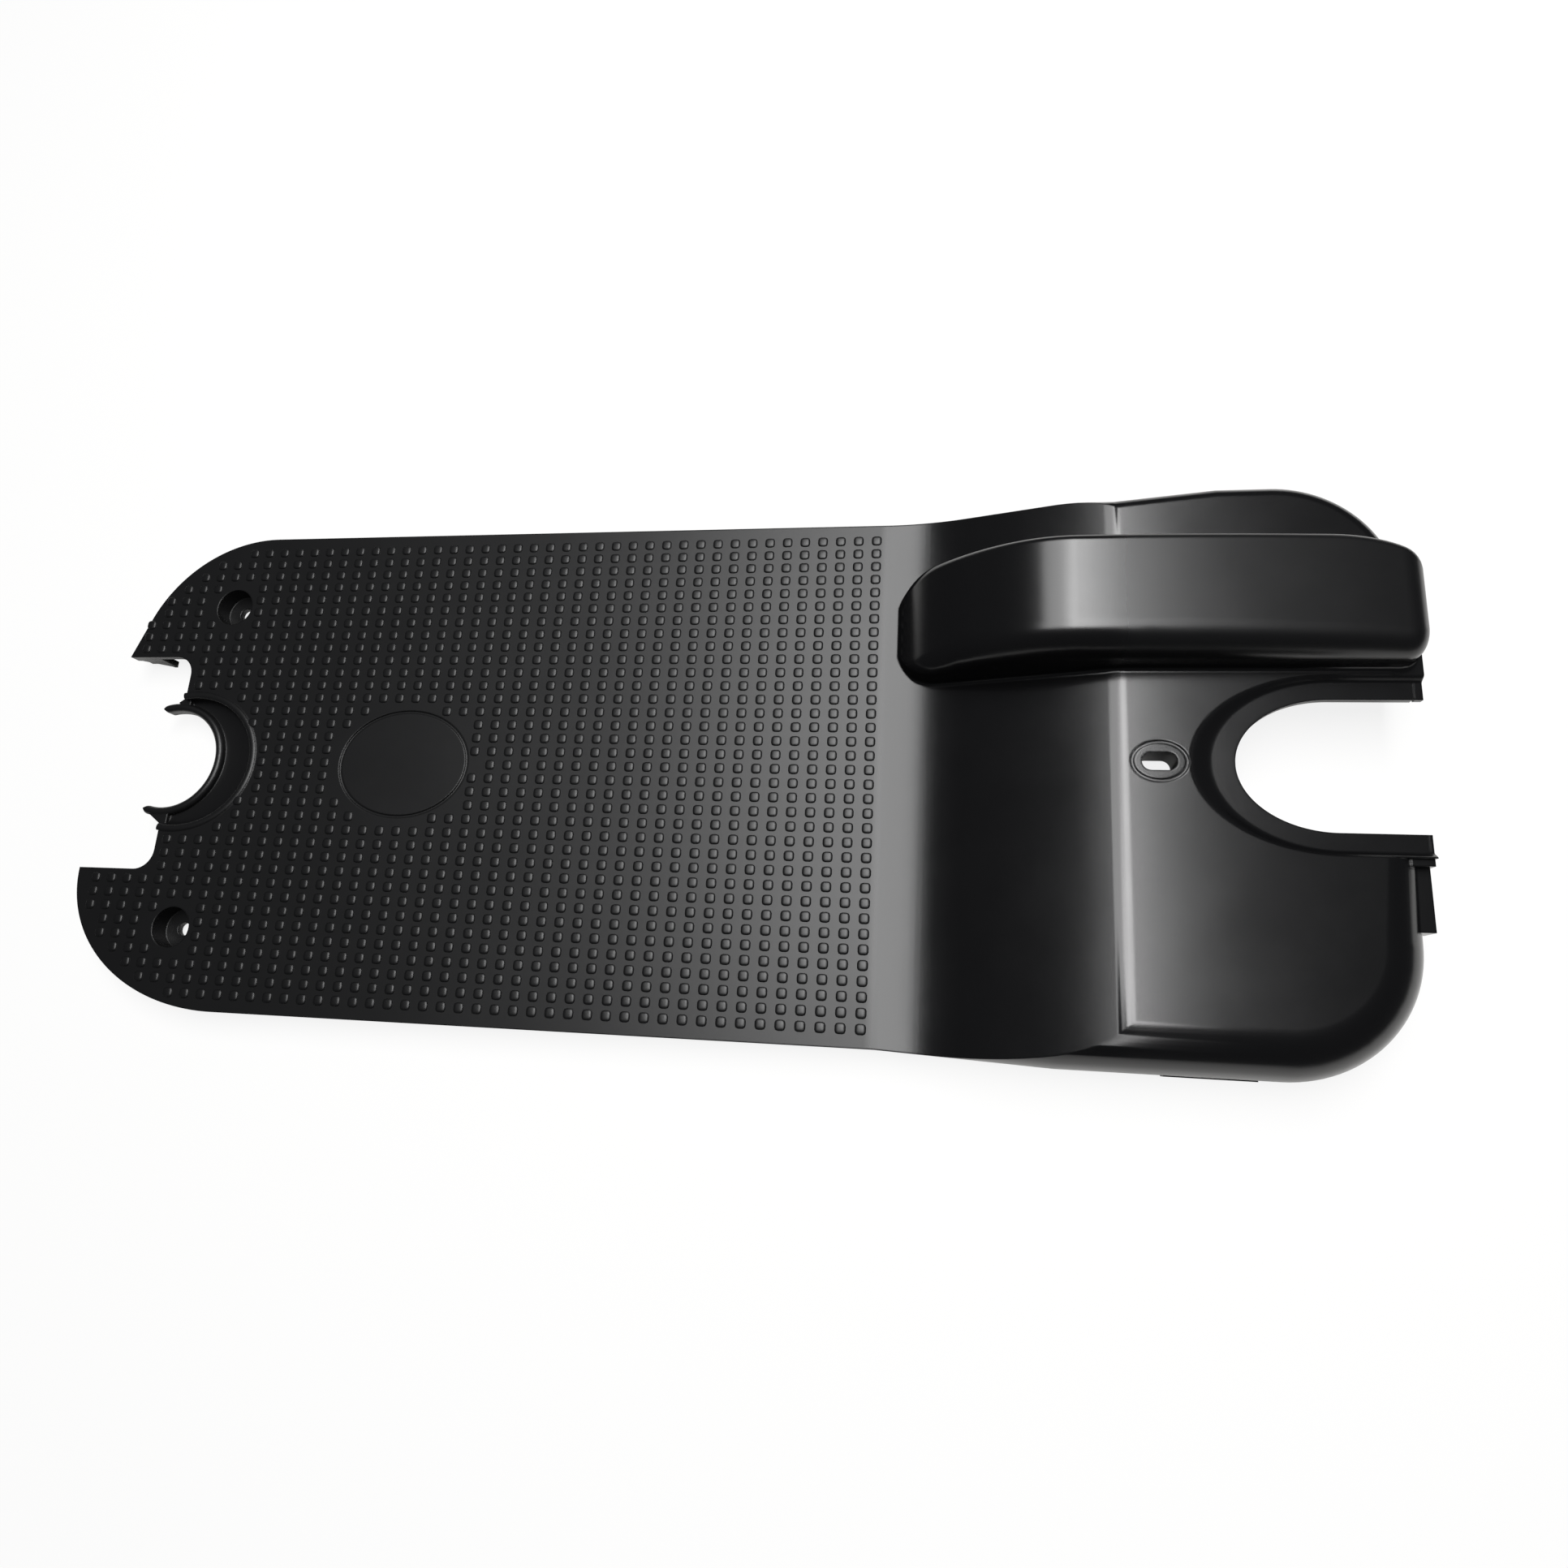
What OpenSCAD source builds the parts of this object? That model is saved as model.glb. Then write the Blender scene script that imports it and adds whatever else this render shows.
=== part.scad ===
// Moulded floorboard of a two-wheeled electric scooter: tread deck, ramp up to a rear
// platform with a drive bulge, a collared notch for the steering tube and a ringed notch
// for the rear post. One moulding, seen from the rider's side; the hollow underside is open.
// X runs rearwards, Y to the drive side, Z up. The bottom rim stands on z = 0.

/* [Deck] */
// Length over the front tips and the rear face
overall_length = 570; // [540:1:620]
// Width of the deck over its straight sides
deck_width = 225.6; // [200:0.2:250]
// Height of the tread face above the bottom rim
deck_height = 14; // [12:0.5:24]
// Wall thickness of the moulding
wall = 3; // [2.4:0.1:4]
// Reach of the near front corner's curve along the board
corner_reach = 80; // [60:1:100]
// Reach of the near front corner's curve across the board
corner_spread = 61; // [50:1:61]
// Reach of the drive-side front corner's curve along the board
drive_corner_reach = 69.5; // [66:0.5:74]
// Plan radius of the drive-side front corner
drive_corner_radius = 64.5; // [60:0.5:68]

/* [Front notch] */
// Width of the gap between the two front tips
gap_width = 103; // [90:1:110]
// Depth of that gap behind the tips
gap_depth = 36.3; // [30:0.1:42]
// Fillet in the gap's two inner corners
gap_fillet = 6.5; // [3:0.5:8]
// Radius that the steering tube passes through
tube_radius = 23.4; // [21:0.1:24]
// Distance from the gap's back edge forwards to the centre of the tube
tube_advance = 4.2; // [2:0.1:6]
// Distance of the tube's centre from the board's centre line
tube_offset = 1.5; // [0:0.1:2]
// Reach of the collar's rim along the board
collar_reach = 33; // [30:0.1:35]
// Reach of the collar's rim across the board
collar_spread = 30.5; // [30:0.1:33]
// How far the rim's centre lies behind the tube's, as the tube leans back
collar_lean = 10.1; // [6:0.1:12]
// Depth of the hollow between the rim and the lip
collar_depth = 4.5; // [3:0.1:6]
// Thickness of the lip round the tube
lip_thickness = 4; // [3:0.1:4.5]
// How far the lip's top lies below the deck
lip_drop = 1.6; // [0.5:0.1:3]
// How far the ends of the lip's two horns stand in front of the gap's back edge
horn_reach = 10.6; // [6:0.1:12]

/* [Front screws] */
// Distance between the two screws
screw_spacing = 154.2; // [140:0.1:160]
// Distance of the screws behind the front tips
screw_setback = 52.4; // [48:0.1:60]
// Diameter of a screw's through hole
screw_hole_d = 6; // [5:0.1:8]
// Diameter of the counterbore for the head
counterbore_d = 18; // [14:0.1:20]
// Depth of the counterbore
counterbore_depth = 8.5; // [5:0.1:9]

/* [Tread panel] */
// Length of the plain oval panel in the tread
panel_length = 62; // [50:1:70]
// Width of the plain oval panel
panel_width = 50; // [40:1:60]
// Distance of the panel's centre behind the front tips
panel_setback = 152; // [140:1:170]

/* [Rear platform] */
// Length of the ramp
ramp_length = 93; // [80:1:110]
// Length of the platform, from its front edge to the rear face
platform_length = 111; // [100:1:130]
// Rise of the platform above the deck
platform_rise = 20; // [16:0.5:24]
// Length of the hollow curve at the ramp's foot
ramp_blend = 34; // [20:1:50]
// Length of the rounding on the platform's front edge
edge_blend = 7; // [3:0.5:12]
// How far the near side flares out beside the platform
near_flare = 3.2; // [1:0.1:8]
// Where that side reaches its full width, in front of the rear face
near_flare_length = 135; // [110:1:150]
// Plan radius of the near rear corner
near_corner_radius = 54; // [40:1:60]
// How far the drive side flares out beside the platform
drive_flare = 4; // [1:0.1:8]
// Where that side reaches its full width, in front of the rear face
drive_flare_length = 110; // [90:1:130]
// Plan radius of the rear corner on the drive side
drive_rear_radius = 46; // [36:1:60]
// Radius that the platform's near edge and rear edge are rounded to
shoulder_radius = 19.5; // [10:0.5:19.5]
// Radius of the platform's edge on the drive side
drive_edge_radius = 6; // [4:0.5:10]
// How far the middle of the rear face stands out behind the corners
rear_step = 3.2; // [2:0.1:6]

/* [Rear notch] */
// Width of the notch for the rear post
post_gap_width = 51.8; // [44:0.2:54]
// Reach of the notch's oval end along the board
post_gap_reach = 35.1; // [28:0.1:37]
// Distance from the rear face to the widest point of the oval end
post_gap_depth = 33.2; // [28:0.1:36]
// Width of the flat ring at the closed end
ring_width_front = 8.4; // [6:0.1:10]
// Width of the flat ring along the sides
ring_width_side = 6.5; // [5:0.1:7]
// Width of the slope outside the ring at the closed end
slope_width_front = 8.8; // [6:0.1:10]
// Width of the slope outside the ring along the sides
slope_width_side = 2.6; // [2:0.1:4]
// Depth of the ring below the platform
ring_drop = 3; // [2:0.1:4]

/* [Slot] */
// Length of the slot's oval seat
seat_length = 21.6; // [18:0.1:24]
// Width of the slot's oval seat
seat_width = 16.6; // [14:0.1:20]
// End-to-end length of the slot
slot_length = 13.2; // [10:0.1:15]
// Width of the slot
slot_width = 7.2; // [5:0.1:9]
// Distance of the slot's centre behind the platform's front edge
slot_setback = 14.6; // [12:0.1:18]
// Depth of the boss under the slot
slot_boss_depth = 10; // [6:0.5:14]

/* [Drive bulge] */
// Distance of the bulge's middle from the board's centre line
bulge_offset = 61.3; // [60:0.1:64]
// Width of the bulge between its side walls
bulge_width = 47.4; // [40:0.1:48]
// Height of the bulge above the deck
bulge_rise = 42.5; // [36:0.5:50]
// Length of the bulge's foot, from the nose's point to the rear face
bulge_length = 198.4; // [180:0.1:210]
// Length over which the nose climbs to full height
nose_length = 70; // [50:1:90]
// Fall of the bulge's top towards the rear end
bulge_fall = 6; // [0:0.5:10]
// Radius of the bulge's top edge on the near side
bulge_near_radius = 12; // [5:0.5:14]
// Radius of the bulge's top edge on the drive side
bulge_drive_radius = 3.5; // [3.5:0.5:12]
// Fillet at the bulge's foot
bulge_foot_radius = 3; // [2:0.5:3]

/* [Tab and lugs] */
// Width of the locating tab on the rear face
tab_width = 25; // [15:1:30]
// Height of the tab
tab_height = 8.5; // [4:0.5:10]
// Distance of the tab's middle from the board's centre line, on the near side
tab_offset = 48.5; // [45:0.5:60]
// Height of the tab's lower edge above the deck
tab_rise = 3; // [1:0.5:5]
// Length of the lug on each side
lug_length = 34; // [20:1:50]
// Height of a lug
lug_height = 5; // [3:0.5:8]
// How far a lug stands out from the side
lug_reach = 0.6; // [0.4:0.1:2]
// Height of a lug's lower edge above the bottom rim
lug_base = 3; // [2:0.5:6]

/* [Underside] */
// Thickness of the stiffening ribs
rib_thickness = 2; // [1.6:0.1:3]
// Depth of the ribs under the deck plate
rib_depth = 6; // [4:0.5:8]
// Spacing of the cross ribs
rib_spacing = 48; // [36:1:60]
// Wall round each screw's counterbore
boss_wall = 3; // [2.4:0.1:4]

/* [Hidden] */

arc_steps = 14;
lap = 0.5; // how far joined forms reach into each other
past = 1; // how far a cut runs past a face
clear = 0.02; // keeps two faces from lying in one plane
corner_turn = 160; // where the drive-side corner's curve runs out to the tip, in degrees
tip_cut = 2; // how far that tip stands back from the near one
nose_corner = 14; // plan radius of the nose's corners
end_corner = 8; // radius of the bulge's rear edges
drive_end_corner = 16; // plan radius of its rear corner on the drive side
bulge_back = 1.5; // how far its rear end stands in front of the rear face
step_margin = 0.4; // how far the middle of the rear face runs past the bulge
nose_power = 0.8; // fullness of the nose's curve
nose_tip = 0.6; // first station behind the nose's point
foot_sink = 0.4; // how far the bulge's foot reaches into the skin
skirt = 2; // how far its sides go on below that
hollow_start = deck_height - wall - lap; // lowest roof of the space in the bulge
break_start = 16; // start of the gap's broken wall behind the front tips
break_z = 1.2; // lowest point of what is left of that wall
notch_margin = 2; // how far the rear wall's opening runs past the slope
lug_advance = 22; // how far the lugs start in front of the middle between slot and notch
rim_round = 0.6; // rounding of the collar's rim
groove_depth = 0.6; // depth of the fine grooves round the slot and the panel
groove_width = 0.9; // their width

half_width = deck_width / 2;
near_half_width = half_width + near_flare;
drive_half_width = half_width + drive_flare;
front_x = -overall_length / 2;
rear_x = overall_length / 2;
rear_wall_x = rear_x - rear_step;
platform_z = deck_height + platform_rise;

gap_x = front_x + gap_depth;
tube_x = gap_x - tube_advance;
collar_x = tube_x + collar_lean;
screw_x = front_x + screw_setback;
panel_x = front_x + panel_setback;
platform_x = rear_x - platform_length;
ramp_x = platform_x - ramp_length;
slot_x = platform_x + slot_setback;
post_x = rear_x - post_gap_depth;
nose_x = rear_x - bulge_length;
bulge_x = rear_x - bulge_back;
lip_z = deck_height - collar_depth - wall + lap;

ring_z = platform_z - ring_drop;
step_y0 = -(post_gap_width / 2 + ring_width_side + slope_width_side);
step_y1 = bulge_offset + bulge_width / 2 + step_margin;

// Points of an elliptical arc
function arc(cx, cy, rx, ry, a0, a1, n = arc_steps) =
    [for (i = [0:n]) let (a = a0 + (a1 - a0) * i / n) [cx + rx * cos(a), cy + ry * sin(a)]];

function mirrored(points) = [for (i = [len(points) - 1:-1:0]) [points[i][0], -points[i][1]]];

// The two sides of the front deck's outline, from the tip to the ramp
function near_deck_side(inset) =
    arc(front_x + corner_reach, half_width - corner_spread, corner_reach - inset,
        corner_spread - inset, 180, 90);

function drive_deck_side(inset) =
    concat([[front_x + tip_cut + inset / sin(corner_turn - 90), half_width - corner_spread]],
        arc(front_x + drive_corner_reach, half_width - drive_corner_radius,
            drive_corner_radius - inset, drive_corner_radius - inset, corner_turn, 90));

function deck_outline(inset, end_x) =
    let (end = [[end_x, half_width - inset]])
    concat(drive_deck_side(inset), end, mirrored(concat(near_deck_side(inset), end)));

// One side of the rear outline: it flares to the platform's width and turns the corner
function rear_side(inset, start_x, flare_x, width, radius) =
    concat([[start_x, half_width - inset], [flare_x, width - inset]],
        arc(rear_wall_x - radius, width - radius, radius - inset, radius - inset, 90, 0));

function rear_outline(drive_inset, near_inset, start_x) =
    concat(
        rear_side(drive_inset, start_x, rear_x - drive_flare_length + drive_inset,
            drive_half_width, drive_rear_radius),
        mirrored(rear_side(near_inset, start_x, rear_x - near_flare_length,
            near_half_width, near_corner_radius)));

// Rounding that a corner of radius r takes off at a distance d from its end
function corner_cut(d, r) = d < r ? r - sqrt(max(0, r * r - pow(r - d, 2))) : 0;

// Height of the ramp and platform above the deck
ramp_slope = platform_rise / (platform_x - ramp_x - ramp_blend / 2);
function ramp_height(x) =
    let (d = x - ramp_x, left = platform_x + edge_blend / 2 - x)
    d <= 0 ? 0
    : d < ramp_blend ? ramp_slope * d * d / (2 * ramp_blend)
    : left > edge_blend ? ramp_slope * (d - ramp_blend / 2)
    : left > 0 ? platform_rise - ramp_slope * left * left / (2 * edge_blend)
    : platform_rise;

// A closed skin through rings of points. Each ring is the same on both sides of its middle,
// so the two end caps are strips across it. Seen along the way the rings go, each turns
// anticlockwise from the left side.
module ring_loft(rings) {
    n = len(rings[0]);
    last = (len(rings) - 1) * n;
    polyhedron(
        points = [for (ring = rings) each ring],
        faces = concat(
            [for (i = [0:n / 2 - 2]) each [[i, i + 1, n - 2 - i], [i, n - 2 - i, n - 1 - i]]],
            [for (k = [0:n:last - n], i = [0:n - 1])
                let (a = k + i, b = k + (i + 1) % n)
                each [[a, a + n, b + n], [a, b + n, b]]],
            [for (i = [0:n / 2 - 2])
                each [[last + n - 2 - i, last + i + 1, last + i],
                    [last + n - 1 - i, last + n - 2 - i, last + i]]]
        )
    );
}

function at_height(points, z) = [for (p = points) [p[0], p[1], z]];

// The side view of ramp and platform, run across the board; drop lowers its top face
module profile_prism(drop, start_x, end_x) {
    climb = platform_x + edge_blend / 2 - ramp_x;
    top = concat(
        [[start_x, deck_height - drop]],
        [for (i = [0:arc_steps]) let (x = ramp_x + ramp_blend * i / arc_steps)
            [x, deck_height + ramp_height(x) - drop]],
        [for (i = [0:6]) let (x = ramp_x + climb - edge_blend + edge_blend * i / 6)
            [x, deck_height + ramp_height(x) - drop]],
        [[end_x, platform_z - drop]]
    );
    rotate([90, 0, 0])
        linear_extrude(2 * max(drive_half_width, near_half_width) + 20, center = true)
            polygon(concat(top, [[end_x, -past], [start_x, -past]]));
}

// The rear outline with its top edges rounded, from the top down
module shoulder_block(inset, bottom, top, start_x) {
    near = shoulder_radius - inset;
    drive = drive_edge_radius - inset;
    function cut(radius, depth) = inset + corner_cut(depth, radius);
    ring_loft(concat(
        [for (i = [7:-1:0]) let (depth = near * (1 - sin(90 * i / 7)))
            at_height(rear_outline(cut(drive, depth), cut(near, depth), start_x), top - depth)],
        [at_height(rear_outline(inset, inset, start_x), bottom)]
    ));
}

// Deck, ramp and platform as one closed form
module outer_form() {
    linear_extrude(deck_height)
        polygon(deck_outline(0, ramp_x + lap));
    intersection() {
        profile_prism(0, ramp_x - past, rear_x + past);
        shoulder_block(0, 0, platform_z + clear, ramp_x);
    }
    translate([rear_wall_x - drive_rear_radius, step_y0, 0])
        cube([drive_rear_radius + rear_step, step_y1 - step_y0, platform_z - foot_sink]);
}

// The space under the skin, open at the bottom
module hollow_form() {
    translate([0, 0, -past])
        linear_extrude(deck_height - wall + past)
            difference() {
                polygon(deck_outline(wall, ramp_x + past));
                difference() {
                    gap_plan(wall);
                    broken_wall_plan();
                }
            }
    intersection() {
        profile_prism(wall, ramp_x - past, rear_x + past);
        shoulder_block(wall, -past, platform_z - wall + clear, ramp_x);
    }
    translate([rear_wall_x - drive_rear_radius, step_y0 + wall, -past])
        cube([drive_rear_radius + rear_step - wall, step_y1 - step_y0 - 2 * wall,
            platform_z - wall - foot_sink + past]);
    translate([rear_wall_x - 3 * wall, step_y0 - notch_margin, -past])
        cube([4 * wall + rear_step, 2 * (notch_margin - step_y0), ring_z - wall + lap + past]);
    tip_break();
}

// Where the drive-side wall of the front gap is broken away, in plan
module broken_wall_plan() {
    side = collar_spread - 2;
    translate([front_x + break_start, side])
        square([gap_depth - break_start + wall + past, gap_width / 2 - side + wall + past]);
}

// The torn lower edge of what is left of that wall, from the tip backwards
module tip_break() {
    translate([0, gap_width / 2 + wall + lap, 0])
        rotate([90, 0, 0])
            linear_extrude(wall + lap + past)
                polygon([[front_x - past, -past], [front_x - past, deck_height - wall - 1.5],
                    [front_x + 4, deck_height - wall - 2], [front_x + 8, deck_height / 2 - 1],
                    [front_x + break_start - 2, break_z], [front_x + break_start - 1, -past]]);
}

// Half section of the bulge, from its foot up to its top
function bulge_section(half, base, top, radius) =
    let (
        climb = top - base,
        edge = min(radius, climb * 0.55, half * 0.6),
        foot = min(bulge_foot_radius, climb * 0.3)
    )
    concat(
        [[half + foot * (1 + cos(260)), base - skirt]],
        [for (i = [0:4]) let (a = 260 - 80 * i / 4)
            [half + foot + foot * cos(a), base + foot + foot * sin(a)]],
        [for (i = [0:5]) let (a = 90 * i / 5)
            [half - edge + edge * cos(a), top - edge + edge * sin(a)]]
    );

function bulge_half_width(x, inset, corner) =
    bulge_width / 2 - inset
        - corner_cut(x - nose_x - inset, nose_corner)
        - corner_cut(bulge_x - inset - x, corner);

function bulge_top(x, inset) =
    let (
        straight = bulge_x - nose_x - nose_length,
        t = min(1, max(0, (x - nose_x - inset) / nose_length)),
        along = max(0, (x - nose_x - nose_length) / straight)
    )
    deck_height + bulge_rise * pow(sin(90 * t), nose_power) - bulge_fall * along * along
        - corner_cut(bulge_x - inset - x, end_corner) - inset;

// Stations from the nose to the rear end, close together where the skin bends
bulge_stations = let (straight = bulge_x - nose_x - nose_length - drive_end_corner) concat(
    [for (i = [0:11]) nose_tip + (nose_length - nose_tip) * pow(i / 11, 1.6)],
    [for (i = [1:5]) nose_length + straight * i / 5],
    [for (i = [1:7]) nose_length + straight + drive_end_corner * sin(90 * i / 7)]
);

// A section across the bulge, from the drive side's foot over the top to the near side's
function bulge_ring(x, drive, near) =
    concat(
        [for (p = drive) [x, bulge_offset + p[0], p[1]]],
        [for (i = [len(near) - 1:-1:0]) [x, bulge_offset - near[i][0], near[i][1]]]
    );

// The bulge's outer skin, through its sections
module bulge() {
    ring_loft([for (s = bulge_stations)
        let (
            x = nose_x + s,
            base = deck_height + ramp_height(x) - foot_sink,
            top = max(bulge_top(x, 0), base + 1)
        )
        bulge_ring(x,
            bulge_section(bulge_half_width(x, 0, drive_end_corner), base, top, bulge_drive_radius),
            bulge_section(bulge_half_width(x, 0, end_corner), base, top, bulge_near_radius))]);
}

// The space inside the bulge, a wall's thickness under its skin
module bulge_hollow() {
    span = bulge_x - nose_x;
    function side(half, top, radius) =
        let (edge = min(max(radius - wall, lap), half * 0.6))
        concat([[half, -past]],
            [for (i = [0:5]) let (a = 90 * i / 5)
                [half - edge + edge * cos(a), top - edge + edge * sin(a)]]);
    ring_loft([for (s = bulge_stations)
        let (
            x = nose_x + wall + s * (span - 2 * wall) / span,
            top = max(bulge_top(x, wall), hollow_start)
        )
        bulge_ring(x,
            side(bulge_half_width(x, wall, drive_end_corner), top, bulge_drive_radius),
            side(bulge_half_width(x, wall, end_corner), top, bulge_near_radius))]);
}

// Plan of the gap between the front tips, grown by a margin
module gap_plan(margin) {
    radius = gap_fillet + margin;
    side = concat([[front_x - past - margin, gap_width / 2 + margin]],
        arc(gap_x + margin - radius, gap_width / 2 + margin - radius, radius, radius, 90, 0, 8));
    polygon(concat(side, mirrored(side)));
}

// An oval ring of points for ring_loft
function oval_ring(cx, cy, rx, ry, z) = let (n = 56)
    [for (i = [0:n - 1]) let (a = 180 - (i + 0.5) * 360 / n) [cx + rx * cos(a), cy + ry * sin(a), z]];

// The hollow between the deck and the lip round the steering tube
module collar_bowl() {
    lip_radius = tube_radius + lip_thickness;
    ring_loft(concat(
        [oval_ring(collar_x, 0, collar_reach + rim_round, collar_spread + rim_round,
            deck_height + past)],
        [for (i = [0:6]) let (t = 1 - cos(90 * i / 6))
            oval_ring(
                collar_x + (tube_x - collar_x) * t,
                tube_offset * t,
                collar_reach + (lip_radius - collar_reach) * t,
                collar_spread + (lip_radius - collar_spread) * t,
                deck_height - rim_round - (collar_depth - rim_round) * sin(90 * i / 6))]
    ));
}

// What carries the bowl, and the lip with its two horns
module collar_seat() {
    intersection() {
        translate([collar_x, 0, deck_height - collar_depth - wall])
            cylinder(h = collar_depth + wall - lap, r = collar_reach + wall, $fn = 96);
        translate([gap_x, -half_width, 0])
            cube([overall_length, deck_width, deck_height]);
    }
}

// The lip round the tube, with a rounded end on each of its two horns
module tube_lip() {
    horn_x = gap_x - horn_reach;
    middle = tube_radius + lip_thickness / 2;
    horn_y = sqrt(middle * middle - pow(horn_x - tube_x, 2));
    translate([0, 0, lip_z])
        linear_extrude(deck_height - lip_drop - lip_z) {
            difference() {
                translate([tube_x, tube_offset])
                    circle(r = tube_radius + lip_thickness, $fn = 96);
                translate([horn_x - half_width, -half_width])
                    square([half_width, deck_width]);
            }
            for (side = [-1, 1])
                translate([horn_x, tube_offset + side * horn_y])
                    circle(d = lip_thickness - 2 * clear, $fn = 32);
        }
}

// Half of a U plan that opens to the rear, grown by a margin along and across the board
function u_side(along, across, end_x) =
    concat(
        arc(post_x, 0, post_gap_reach + along, post_gap_width / 2 + across, 176.4, 90, 24),
        [[end_x, post_gap_width / 2 + across]]
    );

function u_ring(along, across, end_x) =
    let (side = u_side(along, across, end_x)) concat(side, mirrored(side));

// The slope from the platform down to the flat ring round the rear notch
module ring_recess() {
    ring_loft(concat(
        [at_height(u_ring(ring_width_front + slope_width_front, ring_width_side + slope_width_side,
            rear_x + past), platform_z + past)],
        [for (i = [0:5]) let (t = i / 5, down = (1 - cos(180 * t)) / 2)
            at_height(u_ring(
                ring_width_front + slope_width_front * (1 - t),
                ring_width_side + slope_width_side * (1 - t),
                rear_x + past), platform_z - ring_drop * down)]
    ));
}

// What carries the flat ring and the slope round the rear notch
module ring_plate() {
    translate([0, 0, ring_z - wall])
        linear_extrude(platform_z - ring_z + wall - lap)
            polygon(u_ring(ring_width_front + slope_width_front + wall,
                ring_width_side + slope_width_side, rear_wall_x - lap));
}

module stadium(length, width) {
    square([length - width, width], center = true);
    for (side = [-1, 1])
        translate([side * (length - width) / 2, 0])
            circle(d = width, $fn = 48);
}

module slot_boss() {
    translate([slot_x, 0, platform_z - wall - slot_boss_depth])
        linear_extrude(slot_boss_depth + lap)
            stadium(slot_length + 2 * wall, slot_width + 2 * wall);
}

module slot_cut() {
    translate([slot_x, 0, 0])
        linear_extrude(platform_z + past)
            stadium(slot_length, slot_width);
    translate([slot_x, 0, platform_z - groove_depth])
        linear_extrude(groove_depth + past)
            difference() {
                polygon(arc(0, 0, seat_length / 2, seat_width / 2, 0, 355, 71));
                polygon(arc(0, 0, seat_length / 2 - groove_width, seat_width / 2 - groove_width,
                    0, 355, 71));
            }
}

module screw_boss() {
    cylinder(h = deck_height - lap, d = counterbore_d + 2 * boss_wall, $fn = 72);
}

// Counterbore, through hole and the pocket under the screw's seat
module screw_cut() {
    translate([0, 0, deck_height - counterbore_depth])
        cylinder(h = counterbore_depth + past, d = counterbore_d, $fn = 72);
    translate([0, 0, -past])
        cylinder(h = deck_height, d = screw_hole_d, $fn = 48);
    translate([0, 0, -past])
        cylinder(h = deck_height - counterbore_depth - wall + past,
            d = counterbore_d - boss_wall, $fn = 72);
}

module at_screws() {
    for (side = [-1, 1])
        translate([screw_x, side * screw_spacing / 2, 0])
            children();
}

// Stiffening ribs under the deck plate
module ribs() {
    top = deck_height - wall + lap;
    first = front_x + corner_reach + rib_thickness;
    for (x = [first:rib_spacing:ramp_x])
        translate([x, -half_width + wall / 2, top - lap - rib_depth])
            cube([rib_thickness, deck_width - wall, rib_depth + lap]);
    for (side = [-1, 1])
        translate([gap_x + wall / 2, side * screw_spacing / 4 - rib_thickness / 2, top - lap - rib_depth])
            cube([ramp_x - gap_x, rib_thickness, rib_depth + lap]);
}

// Remains of the torn flange at the drive-side tip
module torn_flange() {
    y = gap_width / 2;
    translate([front_x + 6, 0, deck_height - wall - 6])
        linear_extrude(6)
            polygon([[0, y + 1], [0.5, y - 1], [7, y - 1.9], [10.5, y - 3.6], [14.5, y - 4.4],
                [14, y - 2.4], [10, y - 1.2], [8, y + 1]]);
}

module rear_tab() {
    translate([rear_wall_x - wall, -tab_offset - tab_width / 2, deck_height + tab_rise])
        cube([wall + rear_step, tab_width, tab_height]);
}

// The lugs along the two sides, as a length of the outline that stands out a little
module side_lugs() {
    intersection() {
        translate([0, 0, lug_base])
            linear_extrude(lug_height)
                polygon(rear_outline(-lug_reach, -lug_reach, ramp_x));
        translate([(platform_x + post_x) / 2 - lug_advance, -overall_length / 2, 0])
            cube([lug_length, overall_length, platform_z]);
    }
}

// The plain oval panel in the tread, inside a shallow groove
module panel_groove() {
    translate([panel_x, 0, deck_height - groove_depth])
        linear_extrude(groove_depth + past)
            difference() {
                polygon(arc(0, 0, panel_length / 2, panel_width / 2, 0, 355, 71));
                polygon(arc(0, 0, panel_length / 2 - groove_width, panel_width / 2 - groove_width,
                    0, 355, 71));
            }
}

module shell() {
    difference() {
        union() {
            outer_form();
            bulge();
            rear_tab();
            side_lugs();
        }
        hollow_form();
        bulge_hollow();
    }
    collar_seat();
    ring_plate();
    slot_boss();
    at_screws() screw_boss();
    ribs();
    torn_flange();
}

module floorboard() {
    color("#17181a")
        difference() {
            union() {
                difference() {
                    shell();
                    translate([0, 0, -past])
                        linear_extrude(deck_height + 2 * past)
                            gap_plan(0);
                    collar_bowl();
                    ring_recess();
                }
                tube_lip();
            }
            translate([tube_x, tube_offset, -past])
                cylinder(h = deck_height + 2 * past, r = tube_radius, $fn = 96);
            translate([0, 0, -past])
                linear_extrude(platform_z + 2 * past)
                    polygon(u_ring(0, 0, rear_x + past));
            slot_cut();
            at_screws() screw_cut();
            panel_groove();
        }
}

floorboard();
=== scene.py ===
import bpy
import bmesh
import math
from mathutils import Matrix, Vector


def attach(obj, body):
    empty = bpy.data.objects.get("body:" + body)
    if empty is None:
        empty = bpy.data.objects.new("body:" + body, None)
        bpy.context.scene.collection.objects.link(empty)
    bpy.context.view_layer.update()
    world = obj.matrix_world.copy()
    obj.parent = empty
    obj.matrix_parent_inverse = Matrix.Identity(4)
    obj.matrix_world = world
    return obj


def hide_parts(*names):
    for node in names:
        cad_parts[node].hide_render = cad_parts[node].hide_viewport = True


# Lengths are in millimetres in the tables below and are turned into metres where a mesh is
# made. +X is to the rear, +Y to the drive side, z = 0 is the plane of the bottom rim.
mm = 0.001
lap = 0.5    # parts that are joined run this far into each other
past = 1.0   # cutters run this far out of what they cut


# Camera, from the fit to the stud lattice and the plan outline

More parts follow.
